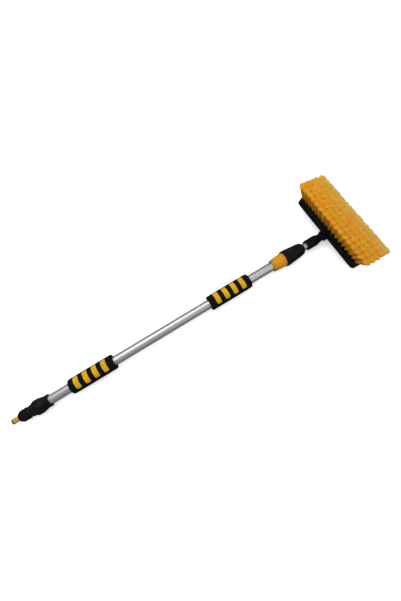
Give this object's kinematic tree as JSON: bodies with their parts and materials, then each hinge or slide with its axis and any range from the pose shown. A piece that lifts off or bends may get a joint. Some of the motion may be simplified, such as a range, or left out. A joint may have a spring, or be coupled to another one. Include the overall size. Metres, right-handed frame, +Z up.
{
  "type": "water-fed window cleaning pole",
  "caption": "Water-fed telescopic washing brush: hose nipple with twist shut-off, aluminium pole with foam grips and twist lock, brush head with soft yellow bristles.",
  "frame": {"origin": "centre of the hose nipple's mouth, on the pole's axis", "axes": "+X along the pole from the hose inlet to the brush head; +Y along the brush block; +Z up, the side that the bristles point to"},
  "size_m": [1.1643, 0.314, 0.1073],
  "materials": {
    "brass": "satin",
    "tube_metal": "satin",
    "rubber_seal": "matte",
    "black_plastic": "satin",
    "collar_plastic": "satin",
    "inner_plastic": "satin",
    "steel": "satin",
    "yellow_plastic": "satin",
    "grip_foam": "matte",
    "insert_foam": "matte",
    "block_plastic": "satin",
    "bristle": "matte"
  },
  "bodies": {
    "outer_pole": {"hose_nipple": "brass", "nipple_seal": "rubber_seal", "valve_body": "black_plastic", "valve_plug": "inner_plastic", "valve_gasket": "rubber_seal", "end_cap": "black_plastic", "end_cap_seal": "rubber_seal", "outer_tube": "tube_metal", "lower_grip": "grip_foam", "lower_grip_inserts": "insert_foam", "upper_grip": "grip_foam", "upper_grip_inserts": "insert_foam", "lock_body": "yellow_plastic", "guide_sleeve": "inner_plastic", "lock_collet": "inner_plastic"},
    "collar": {"valve_collar": "collar_plastic"},
    "spool": {"valve_spool": "inner_plastic", "spool_seals": "rubber_seal", "cam_pin": "steel"},
    "lock_nut": {"lock_nut": "black_plastic"},
    "carrier": {"piston": "inner_plastic", "piston_seals": "rubber_seal"},
    "inner_pole": {"inner_tube": "tube_metal", "tip_adapter": "inner_plastic", "coupling_washer": "rubber_seal", "neck_elbow": "black_plastic", "elbow_seal": "rubber_seal", "head_cover": "block_plastic", "head_gasket": "rubber_seal", "tuft_plate": "block_plastic", "head_screws": "steel", "bristle_row_1": "bristle", "bristle_row_2": "bristle", "bristle_row_3": "bristle", "bristle_row_4": "bristle", "bristle_row_5": "bristle"},
    "coupling": {"coupling_nut": "black_plastic"}
  },
  "joints": [
    {"name": "valve_twist", "type": "hinge", "parent": "outer_pole", "child": "collar", "pos_m": [0.038, 0, 0], "axis": [1, 0, 0], "range_deg": [0, 90]},
    {"name": "spool_slide", "type": "slide", "parent": "outer_pole", "child": "spool", "axis": [1, 0, 0], "range_m": [0, 0.0062]},
    {"name": "lock_twist", "type": "hinge", "parent": "outer_pole", "child": "lock_nut", "pos_m": [0.95, 0, 0], "axis": [1, 0, 0], "range_deg": [0, 120]},
    {"name": "pole_slide", "type": "slide", "parent": "outer_pole", "child": "carrier", "axis": [1, 0, 0], "range_m": [0, 0.68]},
    {"name": "tube_turn", "type": "hinge", "parent": "carrier", "child": "inner_pole", "pos_m": [0.134, 0, 0], "axis": [1, 0, 0], "continuous": true},
    {"name": "coupling_spin", "type": "hinge", "parent": "inner_pole", "child": "coupling", "pos_m": [1.02, 0, 0], "axis": [1, 0, 0], "continuous": true}
  ],
  "couplings": [
    {"joint": "valve_twist", "follows": "spool_slide", "rad_per_m": 253.35}
  ]
}
